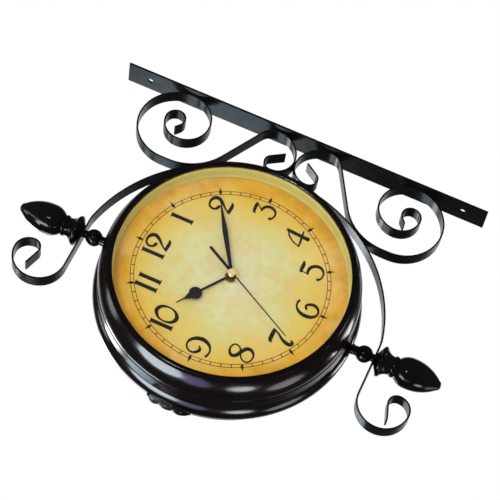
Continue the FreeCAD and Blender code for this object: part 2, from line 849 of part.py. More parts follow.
def make_rotor():
    module = module_of(rotor_distance, rotor_pinion_teeth, intermediate_teeth)
    middle = (stator_front + stator_back) / 2
    magnet = dial_bar(magnet_radius, middle - magnet_height / 2, middle + magnet_height / 2, rotor_place)
    pinion = gear(rotor_place, rotor_level, rotor_pinion_teeth, module, intermediate_place, True)
    return joined(magnet, pinion, dial_bar(arbor_radius, pivot_back, pivot_front, rotor_place))


def make_intermediate_wheel():
    place = intermediate_place
    wheel_module = module_of(rotor_distance, rotor_pinion_teeth, intermediate_teeth)
    pinion_module = module_of(train_distance, intermediate_pinion_teeth, seconds_teeth)
    wheel = gear(place, rotor_level, intermediate_teeth, wheel_module, rotor_place, False)
    pinion = gear(place, seconds_level, intermediate_pinion_teeth, pinion_module, centre_place, True)
    return joined(wheel, pinion, dial_bar(arbor_radius, pivot_back, pivot_front, place))


def make_seconds_wheel():
    wheel_module = module_of(train_distance, intermediate_pinion_teeth, seconds_teeth)
    pinion_module = module_of(train_distance, seconds_pinion_teeth, third_teeth)
    wheel = gear(centre_place, seconds_level, seconds_teeth, wheel_module, intermediate_place, False)
    pinion = gear(centre_place, third_level, seconds_pinion_teeth, pinion_module, third_place, True)
    return joined(wheel, pinion, dial_bar(seconds_shaft_radius, pivot_back, seconds_shaft_front))


def make_third_wheel():
    wheel_module = module_of(train_distance, seconds_pinion_teeth, third_teeth)
    pinion_module = module_of(train_distance, third_pinion_teeth, centre_teeth)
    wheel = gear(third_place, third_level, third_teeth, wheel_module, centre_place, False)
    pinion = gear(third_place, centre_level, third_pinion_teeth, pinion_module, centre_place, True)
    return joined(wheel, pinion, dial_bar(arbor_radius, pivot_back, pivot_front, third_place))


def make_centre_wheel():
    """Minute wheel with the cannon pinion and the minute tube."""
    wheel_module = module_of(train_distance, third_pinion_teeth, centre_teeth)
    pinion_module = module_of(setting_distance, setting_pinion_teeth, hour_teeth)
    wheel = gear(centre_place, centre_level, centre_teeth, wheel_module, third_place, False)
    pinion = gear(centre_place, setting_level, cannon_pinion_teeth, pinion_module, setting_place, True)
    back = level_back(centre_level)
    body = joined(wheel, pinion, dial_bar(minute_tube_radius, back, minute_tube_front))
    bore_radius = seconds_shaft_radius + fit_clearance
    return body.cut(dial_bar(bore_radius, back - overrun, minute_tube_front + overrun))


def make_setting_wheel():
    """Motion-work wheel and pinion on the shaft that ends in the setting knob."""
    module = module_of(setting_distance, setting_pinion_teeth, hour_teeth)
    wheel = gear(setting_place, setting_level, setting_teeth, module, centre_place, False)
    pinion = gear(setting_place, hour_level, setting_pinion_teeth, module, centre_place, True)
    shaft = dial_bar(setting_shaft_radius, knob_front, level_back(setting_level), setting_place)
    pivot = dial_bar(arbor_radius, level_back(setting_level), pivot_front, setting_place)
    knob = dial_bar(knob_radius, knob_back, knob_front, setting_place)
    return joined(wheel, pinion, shaft, pivot, knob)


def make_hour_wheel():
    module = module_of(setting_distance, setting_pinion_teeth, hour_teeth)
    wheel = gear(centre_place, hour_level, hour_teeth, module, setting_place, False)
    body = joined(wheel, dial_bar(hour_tube_radius, level_back(hour_level), hour_tube_front))
    bore_radius = minute_tube_radius + fit_clearance
    bore = dial_bar(bore_radius, level_back(hour_level) - overrun, hour_tube_front + overrun)
    return body.cut(bore)


def make_dial_nut():
    """Hexagon nut on the threaded neck, against the dial."""
    nut = hexagon(dial_nut_width, 0, dial_nut_height, neck_radius + fit_clearance)
    nut.rotate(Vector(0, 0, 0), across, 90)
    nut.translate(Vector(axis_x, -dial_front, 0))
    return nut


def hand(back, angle, hub_radius, shaft_radius, faces):
    """Flat hand: its faces drawn pointing at twelve, joined to the hub, bored and turned to its hour."""
    hub = dial_bar(hub_radius, back, back + hand_thickness)
    body = joined(hub, *[face.extrude(along * hand_thickness) for face in faces])
    body = body.cut(dial_bar(shaft_radius + fit_clearance, back - overrun, back + hand_thickness + overrun))
    body.rotate(case_centre, along, angle)
    return body


def blade(back, *stations):
    """Face of a flat blade towards twelve, through stations of distance and width."""
    depth = -(back + hand_thickness)
    right = [Vector(axis_x + width / 2, depth, distance) for distance, width in stations]
    left = [Vector(axis_x - width / 2, depth, distance) for distance, width in reversed(stations)]
    return Part.Face(Part.makePolygon(right + left + right[:1]))


def make_hour_hand():
    """Slim rod, a round disc that narrows to a nose, and a needle tip."""
    middle = Vector(axis_x, -(hour_hand_back + hand_thickness), hour_disc_reach)
    disc = Part.Face(Part.Wire(Part.makeCircle(hour_disc_radius, middle, along)))
    rod = blade(hour_hand_back, (0, hour_rod_width), (hour_disc_reach, hour_rod_width))
    tip = blade(hour_hand_back, (hour_disc_reach, hour_nose_width), (hour_nose_reach, hour_needle_width),
                (hour_hand_length, tip_width))
    return hand(hour_hand_back, hour_hand_angle, hour_hub_radius, hour_tube_radius, (rod, disc, tip))


def make_minute_hand():
    """Leaf-shaped baton, widest beyond its middle."""
    leaf = blade(minute_hand_back, (0, minute_root_width), (minute_leaf_reach, minute_leaf_width),
                 (minute_hand_length, tip_width))
    return hand(minute_hand_back, minute_hand_angle, minute_hub_radius, minute_tube_radius, (leaf,))


def make_second_hand():
    """Thin needle with a heavier tail."""
    needle = blade(second_hand_back, (0, second_needle_width), (second_hand_length, tip_width))
    tail = blade(second_hand_back, (-second_tail_length, second_tail_width), (0, second_tail_width))
    return hand(second_hand_back, second_hand_angle, second_hub_radius, seconds_shaft_radius, (needle, tail))


def make_hand_nut():
    """Round cap nut that holds the minute hand, open in the middle for the seconds shaft."""
    seat = minute_tube_radius + fit_clearance
    hole = seconds_shaft_radius + fit_clearance
    edge = hand_nut_back + hand_nut_height / 2
    crown = hand_nut_radius - hand_nut_height / 2
    return spun((seat, hand_nut_back), (hand_nut_radius, hand_nut_back), (hand_nut_radius, edge),
                (crown, hand_nut_front), (hole, hand_nut_front), (hole, minute_tube_front),
                (seat, minute_tube_front))


def save_both(name, shape, setback):
    """Front piece and its copy at the rear."""
    save("front_" + name, shape)
    save("rear_" + name, turned_round(shape, setback))


def save_pairs(name, *shapes):
    """One node of small pieces alike: those of the front movement and their copies at the rear."""
    save(name, *shapes, *[turned_round(shape, rear_dial_setback) for shape in shapes])


os.makedirs("parts", exist_ok=True)

save("wall_plate", make_wall_plate())
save("upper_scroll", make_scroll(1))
save("lower_scroll", make_scroll(-1))
save("arm", make_arm())

for piece_name, piece in (("finial", make_finial()), ("ball", make_ball()), ("spindle", make_spindle())):
    save("upper_" + piece_name, piece)
    save("lower_" + piece_name, turned_over(piece))
save("spindle_nuts", make_spindle_nut(), turned_over(make_spindle_nut()))
save("spindle_bushes", make_bush(), turned_over(make_bush()))

save("case_band", make_band())
save("side_crest", make_crest())
save("front_case", make_front_case())
save("rear_case", turned_round(make_rear_case()))
save("front_dial_ring", make_dial_ring(dial_front, glass_back))
save("rear_dial_ring", turned_round(make_dial_ring(rear_dial_front, rear_glass_back)))
save("front_dial_tray", make_dial_tray(dial_back, spigot_radius))
save("rear_dial_tray", turned_round(make_dial_tray(rear_dial_back, rear_spigot_radius)))
for piece_name, piece in (("bezel", make_bezel()), ("glass", make_glass())):
    save_both(piece_name, piece, rear_bezel_setback)

save_pairs("battery_contacts", make_contact(-1), make_contact(1))
save_pairs("motor_stators", make_stator())
save_pairs("motor_coils", make_coil())
save_pairs("circuit_boards", make_board())
save_pairs("dial_nuts", make_dial_nut())

for piece_name, piece in (("dial", make_dial()), ("movement_housing", make_housing()),
                          ("movement_cover", make_cover()), ("battery", make_battery()),
                          ("rotor", make_rotor()), ("intermediate_wheel", make_intermediate_wheel()),
                          ("seconds_wheel", make_seconds_wheel()), ("third_wheel", make_third_wheel()),
                          ("centre_wheel", make_centre_wheel()), ("setting_wheel", make_setting_wheel()),
                          ("hour_wheel", make_hour_wheel()), ("hour_hand", make_hour_hand()),
                          ("minute_hand", make_minute_hand()), ("second_hand", make_second_hand()),
                          ("hand_nut", make_hand_nut())):
    save_both(piece_name, piece, rear_dial_setback)
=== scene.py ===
import bpy
import json
import math
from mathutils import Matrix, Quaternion, Vector


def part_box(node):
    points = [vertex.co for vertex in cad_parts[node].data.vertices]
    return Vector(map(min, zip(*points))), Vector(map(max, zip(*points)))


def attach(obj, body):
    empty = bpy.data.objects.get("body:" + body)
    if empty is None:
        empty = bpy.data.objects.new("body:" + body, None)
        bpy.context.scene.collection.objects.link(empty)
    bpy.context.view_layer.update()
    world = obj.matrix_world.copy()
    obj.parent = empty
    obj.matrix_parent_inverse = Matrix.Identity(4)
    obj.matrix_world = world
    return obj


# Dressed model of the double-sided wall clock. Metres, +Z up, the wall is the plane x = 0.

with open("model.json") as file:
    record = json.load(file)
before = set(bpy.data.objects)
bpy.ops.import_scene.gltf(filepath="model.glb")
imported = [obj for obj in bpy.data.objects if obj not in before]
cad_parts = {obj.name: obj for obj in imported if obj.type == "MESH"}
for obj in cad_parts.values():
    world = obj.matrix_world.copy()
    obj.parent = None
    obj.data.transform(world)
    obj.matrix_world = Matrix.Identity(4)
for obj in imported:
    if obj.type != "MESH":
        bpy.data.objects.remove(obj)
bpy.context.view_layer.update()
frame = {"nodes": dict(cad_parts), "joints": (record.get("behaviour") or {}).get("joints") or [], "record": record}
nodes = frame["nodes"]
mm = 0.001

axis_x = next(joint["pos_m"][0] for joint in frame["joints"] if joint["name"] == "case_swivel")
case_centre = Vector((axis_x, 0, 0))
dial_faces = {"front": -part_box("front_dial")[0].y, "rear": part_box("rear_dial")[1].y}

# Camera at the photograph's viewing angle: places in metres, roll in degrees, lens in millimetres
camera_place = Vector((-0.9654, -1.4731, -0.2132))
camera_target = Vector((-0.1227, 0, 0.0009))
camera_roll = 66.9
camera_lens = 143.1
sensor_width = 36.0

# Soft boxes aimed at the clock: place and size in metres, power in watts.
# Lamps light the whole clock; the last column says if gloss mirrors them.
# Cards show only in gloss; the last column is their colour.
white = (1, 1, 1)
cool = (0.84, 0.94, 1)
blue = (0.7, 0.88, 1)
violet = (0.58, 0.52, 1)
warm = (1, 0.94, 0.9)
lamps = (
    ("front", (-0.95, -1.75, 0.4), (0.22, 0.22), 7.0, True),
    ("top", (-0.7, 0.15, 1.5), (0.5, 0.5), 3, True),
    ("rear", (0.4, 2.0, 1.0), (1.2, 1.2), 5, False),
)
cards = (
    ("side_card", (-1.6, -0.02, 0.57), (0.85, 0.95), 46, cool),
    ("strip_card", (-1.11, -0.33, 1.14), (0.22, 1.5), 6, white),
    ("tint_card", (-1.26, 0.03, -0.07), (0.5, 0.4), 2.4, violet),
    ("low_card", (-0.92, 0.08, -0.5), (0.26, 0.26), 2.8, white),
    ("ground_card", (-0.47, 0.18, -0.56), (0.26, 0.26), 0.8, warm),
    ("corner_card", (0.03, 0.28, -0.57), (0.25, 0.25), 1.5, warm),
    ("coil_card", (-0.21, 1.04, 0.58), (0.24, 0.24), 1.4, cool),
    ("plate_card", (-0.39, 0.69, 0.22), (0.3, 0.3), 0.8, blue),
)

# Light of the room, and the white backdrop; the cosines of its soft edge are from the line of sight
surround_colour = (0.95, 0.97, 1.0)
surround_strength = 0.85
shine_colour = (0.85, 0.9, 1.0)
shine_strength = 0.05
backdrop_strength = 1.0
backdrop_edge = 0.7
backdrop_full = 0.87

# Floor below the clock
floor_reach = 1.6
floor_height = -0.62
floor_dark = (0.8, 0.8, 0.8)
floor_light = (0.83, 0.83, 0.83)

# Dial print, in millimetres from the dial centre
minutes = 60
hours = 12
print_lift = 0.08
film_share = 0.8
track_radii = (81.2, 84.2)
track_line_width = 0.55
track_steps = 240
minute_tick_width = 0.75
mark_inner_radius = 80.6
mark_outer_radius = 88.2
mark_wide_radius = 83.2
mark_width = 2.7

# Middles of the numbers
numeral_places = {
    "12": (-0.3, 68.3), "1": (33.7, 60.3), "2": (60.5, 35.8), "3": (72.5, 0.3), "4": (60.8, -34.2),
    "5": (36.7, -59.2), "6": (0.3, -69.2), "7": (-35.0, -61.3), "8": (-61.3, -36.3), "9": (-70.8, -2.5),
    "10": (-58.3, 33.7), "11": (-35.3, 60.0),
}

# Pen strokes of the digits: x, z and pen width in millimetres from the middle of the digit
digit_strokes = {
    "0": [[(7.0, 0.0, 1.3), (5.4, 6.4, 2.4), (0.6, 9.0, 3.0), (-4.6, 5.8, 1.9), (-6.6, 0.0, 1.3),
           (-5.0, -6.6, 2.4), (0.0, -9.2, 3.1), (5.0, -6.0, 1.9), (7.0, 0.0, 1.3)]],
    "1": [[(0.1, 7.9, 3.1), (0.1, 3.0, 3.0), (0.1, -3.0, 3.0), (0.1, -7.9, 3.1)],
          [(-2.1, 9.3, 0.9), (2.1, 9.5, 0.9)], [(-2.1, -9.4, 0.9), (2.3, -9.4, 0.9)]],
    "2": [[(-2.0, 1.4, 2.6), (-4.8, 2.6, 2.0), (-5.9, 6.2, 1.7), (-3.6, 9.4, 1.6), (0.6, 10.0, 1.9),
           (4.4, 8.2, 2.9), (5.6, 4.8, 3.0), (3.4, 0.6, 2.3), (-0.6, -3.6, 1.4), (-4.0, -8.0, 1.3)],
          [(-4.8, -9.2, 1.0), (-2.4, -8.5, 2.4), (1.6, -8.8, 2.6), (4.6, -8.5, 2.0), (6.6, -7.4, 0.7)]],
    "3": [[(-5.4, 6.6, 0.8), (-4.2, 8.3, 2.2), (0.0, 8.7, 2.5), (3.6, 8.7, 2.3), (4.8, 9.4, 0.9)],
          [(4.6, 8.6, 0.8), (1.8, 5.4, 0.9), (-0.6, 2.8, 1.0)],
          [(-1.2, 2.6, 1.2), (1.6, 2.4, 2.0), (4.4, 0.2, 2.5), (5.4, -3.6, 2.5), (3.6, -7.8, 1.9),
           (-0.4, -9.6, 1.4), (-4.2, -8.4, 1.6), (-5.6, -6.6, 2.3)]],
    "4": [[(3.6, 9.6, 2.2), (3.0, 5.0, 2.9), (2.4, -4.0, 2.9), (2.1, -9.4, 3.2)],
          [(2.8, 8.8, 1.2), (-2.0, 5.6, 1.2), (-5.6, 0.6, 1.1), (-7.4, -4.8, 1.1)],
          [(-7.8, -4.9, 1.3), (-2.0, -4.5, 1.6), (3.0, -3.9, 1.7), (7.6, -3.3, 1.0)],
          [(0.6, -9.6, 0.9), (4.0, -9.4, 0.9)]],
    "5": [[(-4.8, 9.0, 2.0), (-2.0, 9.2, 2.7), (2.0, 9.2, 2.7), (5.0, 9.9, 1.4)],
          [(-4.6, 9.0, 1.0), (-4.5, 5.6, 0.9), (-4.9, 2.6, 1.0)],
          [(-5.0, 2.6, 1.3), (-1.4, 3.6, 2.3), (2.8, 2.2, 2.6), (5.3, -1.6, 2.7), (5.2, -5.6, 2.3),
           (2.2, -8.8, 1.5), (-2.0, -9.6, 1.3), (-5.2, -8.4, 1.6), (-6.2, -7.0, 2.3)]],
    "6": [[(5.0, 9.2, 2.0), (2.4, 9.8, 1.5), (-1.0, 9.0, 1.5), (-4.6, 5.6, 2.3), (-6.2, -0.4, 3.0),
           (-4.8, -6.4, 2.6), (-0.6, -9.6, 1.6), (4.2, -8.0, 1.9), (6.2, -3.8, 2.5), (4.8, 0.8, 2.1),
           (2.2, 2.2, 1.7), (0.4, 0.8, 1.9)]],
    "7": [[(-5.6, 6.8, 0.9), (-4.4, 8.8, 2.6), (0.0, 9.1, 3.0), (4.6, 9.1, 2.9), (6.4, 9.6, 1.6)],
          [(6.0, 8.4, 1.2), (4.0, 4.6, 1.4), (0.8, 0.6, 2.0), (-1.2, -3.6, 2.8), (-1.6, -7.4, 2.9),
           (0.2, -9.2, 2.3), (2.2, -7.6, 1.6)]],
    "8": [[(5.8, 6.4, 1.2), (4.6, 9.0, 1.3), (0.8, 10.2, 1.4), (-3.2, 9.0, 2.0), (-5.0, 6.2, 2.7),
           (-3.2, 3.0, 2.8), (1.4, 0.6, 2.9), (5.4, -2.2, 2.9), (6.2, -5.6, 2.7), (4.2, -8.8, 1.9),
           (0.4, -10.1, 1.3), (-4.2, -8.8, 1.2), (-6.0, -5.6, 1.2), (-4.4, -1.8, 1.2), (-0.4, 0.6, 1.2),
           (4.0, 2.8, 1.2), (5.8, 6.4, 1.2)]],
    "9": [[(-6.0, -8.8, 2.0), (-3.6, -9.7, 1.5), (0.0, -9.8, 1.4), (4.2, -7.4, 2.1), (7.0, -1.6, 3.2),
           (6.0, 4.6, 3.0), (2.2, 9.0, 2.1), (-2.6, 9.8, 1.4), (-6.4, 7.2, 1.4), (-7.3, 3.2, 1.6),
           (-5.6, -0.2, 2.2), (-2.6, -1.8, 2.3), (0.4, 0.0, 0.7)]],
}

# Where the two digits of a number stand, sideways from its middle
digit_offsets = {"10": (-8.0, 2.4), "11": (-4.4, 4.1), "12": (-7.6, 3.4)}

# Pen: its weight on the widths above, and the steps between two points and round an end
pen_weight = 1.17
spline_steps = 8
cap_steps = 6

# Domed boss of the second hand: radius and height above the hand, in millimetres
boss_profile = ((3.5, 0.0), (3.5, 0.2), (3.1, 0.4), (2.2, 0.52), (1.1, 0.57))
boss_steps = 40

# Stops on a noise: most of it lies in the wide range, and the narrow one gives harder edges
wide = (0.3, 0.7)
narrow = (0.35, 0.65)

# Sockets of the Mix node that carry colours
mix_factor, mix_first, mix_second = 0, 6, 7
mix_result = 2


def mesh_object(name, points, faces, material):
    """New piece from points and faces, in metres."""
    mesh = bpy.data.meshes.new(name)
    mesh.from_pydata(points, [], faces)
    mesh.materials.append(material)
    piece = bpy.data.objects.new(name, mesh)
    bpy.context.scene.collection.objects.link(piece)
    return piece


# Shader nodes

def new_material(name):
    """Material with one Principled shader; returns it, its tree and the shader."""
    material = bpy.data.materials.new(name)
    material.use_nodes = True
    tree = material.node_tree
    return material, tree, tree.nodes["Principled BSDF"]


def place(tree):
    """Place on the part, in metres, the same for every node of the frame."""
    return tree.nodes.new("ShaderNodeTexCoord").outputs["Object"]


def noise(tree, scale, detail, roughness=0.5):
    """Noise of so many cells to the metre."""
    node = tree.nodes.new("ShaderNodeTexNoise")
    node.inputs["Scale"].default_value = scale
    node.inputs["Detail"].default_value = detail
    node.inputs["Roughness"].default_value = roughness
    tree.links.new(place(tree), node.inputs["Vector"])
    return node.outputs["Fac"]


def ramp(tree, value, *stops):
    """Colour ramp of (position, colour) stops."""
    node = tree.nodes.new("ShaderNodeValToRGB")
    elements = node.color_ramp.elements
    while len(elements) < len(stops):
        elements.new(0.5)
    for element, (position, colour) in zip(elements, stops):
        element.position = position
        element.color = (*colour, 1)
    tree.links.new(value, node.inputs["Fac"])
    return node.outputs["Color"]


def two_tone(tree, value, dark, light, stops=wide):
    """Colour from dark to light between two stops of a noise."""
    return ramp(tree, value, (stops[0], dark), (stops[1], light))


def span(tree, value, source, target=(0, 1)):
    """Value taken from one range to another, and held at its ends."""
    node = tree.nodes.new("ShaderNodeMapRange")
    for name, number in zip(("From Min", "From Max", "To Min", "To Max"), source + target):
        node.inputs[name].default_value = number
    tree.links.new(value, node.inputs["Value"])
    return node.outputs["Result"]


def mix(tree, factor, first, colour):
    """Colour socket turned towards a fixed colour by a factor."""
    node = tree.nodes.new("ShaderNodeMix")
    node.data_type = "RGBA"
    tree.links.new(factor, node.inputs[mix_factor])
    tree.links.new(first, node.inputs[mix_first])
    node.inputs[mix_second].default_value = (*colour, 1)
    return node.outputs[mix_result]


def combined(tree, operation, first, second):
    """One number out of two sockets."""
    node = tree.nodes.new("ShaderNodeMath")
    node.operation = operation
    tree.links.new(first, node.inputs[0])
    tree.links.new(second, node.inputs[1])
    return node.outputs["Value"]


def vector_step(tree, operation, vector, fixed=(0, 0, 0)):
    """Vector Math node on a socket and a fixed vector; returns its outputs."""
    node = tree.nodes.new("ShaderNodeVectorMath")
    node.operation = operation
    tree.links.new(vector, node.inputs[0])
    node.inputs[1].default_value = fixed
    return node.outputs


def distance(tree, axes):
    """Distance from the middle of the case, in metres, along the axes that are 1."""
    offset = vector_step(tree, "SUBTRACT", place(tree), case_centre)["Vector"]
    counted = vector_step(tree, "MULTIPLY", offset, axes)["Vector"]
    return vector_step(tree, "LENGTH", counted)["Value"]


def bump(tree, shader, height, depth):
    """Relief of so many metres on the shader."""
    node = tree.nodes.new("ShaderNodeBump")
    node.inputs["Strength"].default_value = 1.0
    node.inputs["Distance"].default_value = depth
    tree.links.new(height, node.inputs["Height"])
    tree.links.new(node.outputs["Normal"], shader.inputs["Normal"])


def choose(tree, factor, first, second):
    """The first shader, or the second where the factor is 1."""
    node = tree.nodes.new("ShaderNodeMixShader")
    tree.links.new(factor, node.inputs["Fac"])
    tree.links.new(first, node.inputs[1])
    tree.links.new(second, node.inputs[2])
    return node.outputs["Shader"]


# Materials

def painted(name, dark, light, rough, grain_scale, grain_depth, gloss=0.5, coat=0.0):
    """Paint with a slight cloud in its colour and sheen and a fine skin."""
    material, tree, shader = new_material(name)
    cloud = noise(tree, scale=38, detail=5, roughness=0.6)
    sheen = noise(tree, scale=90, detail=3)
    tree.links.new(two_tone(tree, cloud, dark, light), shader.inputs["Base Color"])
    tree.links.new(span(tree, sheen, wide, rough), shader.inputs["Roughness"])
    shader.inputs["Specular IOR Level"].default_value = gloss
    shader.inputs["Coat Weight"].default_value = coat
    shader.inputs["Coat Roughness"].default_value = 0.1
    bump(tree, shader, noise(tree, scale=grain_scale, detail=2), grain_depth)
    return material


def metal(name, dark, light, rough, line_scale):
    """Bare metal with fine turning lines."""
    material, tree, shader = new_material(name)
    lines = noise(tree, scale=line_scale, detail=3)
    tree.links.new(two_tone(tree, lines, dark, light, narrow), shader.inputs["Base Color"])
    tree.links.new(span(tree, lines, wide, rough), shader.inputs["Roughness"])
    shader.inputs["Metallic"].default_value = 1.0
    bump(tree, shader, lines, 0.02 * mm)
    return material


def moulded(name, dark, light, rough):
    """Moulded plastic with a fine spark-eroded skin."""
    material, tree, shader = new_material(name)
    skin = noise(tree, scale=1800, detail=3)
    colour = two_tone(tree, noise(tree, scale=120, detail=3), dark, light)
    tree.links.new(colour, shader.inputs["Base Color"])
    tree.links.new(span(tree, skin, wide, rough), shader.inputs["Roughness"])
    bump(tree, shader, skin, 0.04 * mm)
    return material


def printed_ink(name, dark, light):
    """Matt printing ink, a little uneven."""
    material, tree, shader = new_material(name)
    colour = two_tone(tree, noise(tree, scale=240, detail=3), dark, light)
    tree.links.new(colour, shader.inputs["Base Color"])
    shader.inputs["Roughness"].default_value = 0.7
    shader.inputs["Specular IOR Level"].default_value = 0.0
    return material


def dial_paint():
    """Parchment print: pale green-grey middle, ochre towards the rim and darker still at the outermost rim as
    painted shade beside the ring, mottled, stained and flecked.
    """
    material, tree, shader = new_material("dial_parchment")
    dial_radius = 100 * mm
    wander = 16 * mm
    cloud = noise(tree, scale=22, detail=5, roughness=0.62)
    shift = span(tree, cloud, (0.25, 0.75), (-wander, wander))
    radius = combined(tree, "ADD", distance(tree, (1, 0, 1)), shift)
    # The stops at 0.93 and 1.0 darken the outermost rim: painted shade where the ring shades the dial edge.
    body = ramp(tree, span(tree, radius, (0, dial_radius)), (0.0, (0.65, 0.625, 0.4)),
                (0.42, (0.61, 0.58, 0.28)), (0.62, (0.64, 0.51, 0.14)), (0.8, (0.66, 0.44, 0.07)),
                (0.93, (0.64, 0.33, 0.02)), (1.0, (0.5, 0.25, 0.016)))
    stain = span(tree, noise(tree, scale=34, detail=7, roughness=0.7), (0.46, 0.66), (0, 0.42))
    stained = mix(tree, stain, body, (0.66, 0.32, 0.04))
    patch = span(tree, noise(tree, scale=17, detail=5, roughness=0.6), (0.5, 0.75), (0, 0.5))
    faded = mix(tree, patch, stained, (0.72, 0.66, 0.36))
    fleck = span(tree, noise(tree, scale=130, detail=4, roughness=0.6), (0.44, 0.7), (0, 0.26))
    tree.links.new(mix(tree, fleck, faded, (0.58, 0.38, 0.1)), shader.inputs["Base Color"])
    sheen = span(tree, noise(tree, scale=300, detail=3), wide, (0.5, 0.62))
    tree.links.new(sheen, shader.inputs["Roughness"])
    shader.inputs["Specular IOR Level"].default_value = 0.0
    bump(tree, shader, noise(tree, scale=2600, detail=2), 0.02 * mm)
    return material


def ring_paint_and_highlights(side):
    """Satin yellow-green wall between dial and glass, darker at the very foot, with a painted highlight band just
    above the foot and a painted highlight line at its front edge.
    """
    material, tree, shader = new_material(side + "_ring_paint_and_highlights")
    low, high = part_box(side + "_dial_ring")
    foot, mouth = sorted((abs(low.y), abs(high.y)))
    rise = span(tree, distance(tree, (0, 1, 0)), (foot, mouth))
    # The stops at 0.12 and 0.95 are painted highlights, one near the ring's foot and one along its front edge.
    body = ramp(tree, rise, (0.0, (0.5, 0.42, 0.1)), (0.12, (0.66, 0.62, 0.23)), (0.45, (0.55, 0.51, 0.13)),
                (0.85, (0.6, 0.56, 0.17)), (0.95, (0.82, 0.78, 0.37)))
    cloud = span(tree, noise(tree, scale=60, detail=4), (0.4, 0.8), (0, 0.25))
    tree.links.new(mix(tree, cloud, body, (0.5, 0.47, 0.14)), shader.inputs["Base Color"])
    sheen = span(tree, noise(tree, scale=400, detail=2), wide, (0.38, 0.5))
    tree.links.new(sheen, shader.inputs["Roughness"])
    return material


def glass_pane():
    """Clear pane that lets the lamps through."""
    material, tree, shader = new_material("clear_pane")
    shader.inputs["Base Color"].default_value = (0.985, 0.995, 0.985, 1)
    shader.inputs["Roughness"].default_value = 0.0
    shader.inputs["Transmission Weight"].default_value = 1.0
    shader.inputs["IOR"].default_value = 1.3
    bump(tree, shader, noise(tree, scale=6, detail=1), 0.02 * mm)
    clear = tree.nodes.new("ShaderNodeBsdfTransparent").outputs["BSDF"]
    shadow = tree.nodes.new("ShaderNodeLightPath").outputs["Is Shadow Ray"]
    surface = choose(tree, shadow, shader.outputs["BSDF"], clear)
    tree.links.new(surface, tree.nodes["Material Output"].inputs["Surface"])
    return material


looks = {
    "wrought_iron": painted("iron_paint", (0.005, 0.0046, 0.004), (0.009, 0.0083, 0.0072),
                            rough=(0.2, 0.28), grain_scale=500, grain_depth=0.01 * mm, gloss=0.14),
    "black_gloss": painted("gloss_enamel", (0.004, 0.0022, 0.0024), (0.007, 0.004, 0.004),
                           rough=(0.14, 0.19), grain_scale=120, grain_depth=0.02 * mm, gloss=0.3),
    "hand_black": painted("hand_lacquer", (0.005, 0.005, 0.005), (0.009, 0.009, 0.009), rough=(0.4, 0.5),
                          grain_scale=900, grain_depth=0.02 * mm, gloss=0.0),
    "tray_steel": painted("grey_primer", (0.24, 0.24, 0.25), (0.32, 0.32, 0.33), rough=(0.5, 0.62),
                          grain_scale=600, grain_depth=0.04 * mm),
    "battery_can": painted("battery_print", (0.07, 0.07, 0.08), (0.12, 0.12, 0.13), rough=(0.3, 0.4),
                           grain_scale=300, grain_depth=0.02 * mm, coat=0.3),
    "steel": metal("turned_steel", (0.42, 0.42, 0.43), (0.6, 0.6, 0.61), rough=(0.22, 0.36), line_scale=900),
    "nut_brass": metal("turned_brass", (0.72, 0.5, 0.16), (0.86, 0.66, 0.3), rough=(0.14, 0.26),
                       line_scale=900),
    "rotor_magnet": metal("plated_magnet", (0.34, 0.34, 0.36), (0.46, 0.46, 0.48), rough=(0.2, 0.34),
                          line_scale=700),
    "coil_copper": metal("enamelled_copper", (0.55, 0.24, 0.09), (0.74, 0.37, 0.16), rough=(0.26, 0.42),
                         line_scale=2400),
    "black_plastic": moulded("black_moulding", (0.018, 0.018, 0.019), (0.03, 0.03, 0.031),
                             rough=(0.44, 0.56)),
    "white_plastic": moulded("white_moulding", (0.74, 0.74, 0.7), (0.82, 0.82, 0.79), rough=(0.34, 0.46)),
    "board_green": moulded("solder_mask", (0.05, 0.2, 0.09), (0.09, 0.28, 0.14), rough=(0.29, 0.41)),
    "parchment": dial_paint(),
    "reflector": ring_paint_and_highlights("front"),
    "clear_glass": glass_pane(),
}
satin = painted("satin_enamel", (0.004, 0.003, 0.003), (0.007, 0.006, 0.006), rough=(0.11, 0.15),
                grain_scale=300, grain_depth=0.01 * mm, gloss=0.15)
for part in frame["record"]["subparts"]:
    mesh = nodes[part["node"]].data
    mesh.materials.clear()
    mesh.materials.append(looks[part["material_slot"]])
nodes["rear_dial_ring"].data.materials[0] = ring_paint_and_highlights("rear")
for turned in ("finial", "ball", "spindle"):
    for end in ("upper_", "lower_"):
        nodes[end + turned].data.materials[0] = satin

ink = printed_ink("numeral_ink", (0.004, 0.0035, 0.003), (0.010, 0.008, 0.006))
track_ink = printed_ink("track_ink", (0.012, 0.007, 0.003), (0.03, 0.015, 0.005))


# Dial print

def smooth_line(points):
    """Points of a smooth line through (x, z, width) points; a line that ends where it starts is a loop."""
    closed = points[0] == points[-1]
    line = []
    for index in range(len(points) - 1):
        after = index + 2 if index + 2 < len(points) else (1 if closed else index + 1)
        before = index - 1 if index else (len(points) - 2 if closed else index)
        p0, p1, p2, p3 = (Vector(points[i]) for i in (before, index, index + 1, after))
        slope = (p2 - p0) / 2
        curve = p0 - 2.5 * p1 + 2 * p2 - p3 / 2
        twist = 1.5 * (p1 - p2) + (p3 - p0) / 2
        for step in range(spline_steps):
            t = step / spline_steps
            line.append(p1 + t * (slope + t * (curve + t * twist)))
    line.append(Vector(points[-1]))
    return line, closed


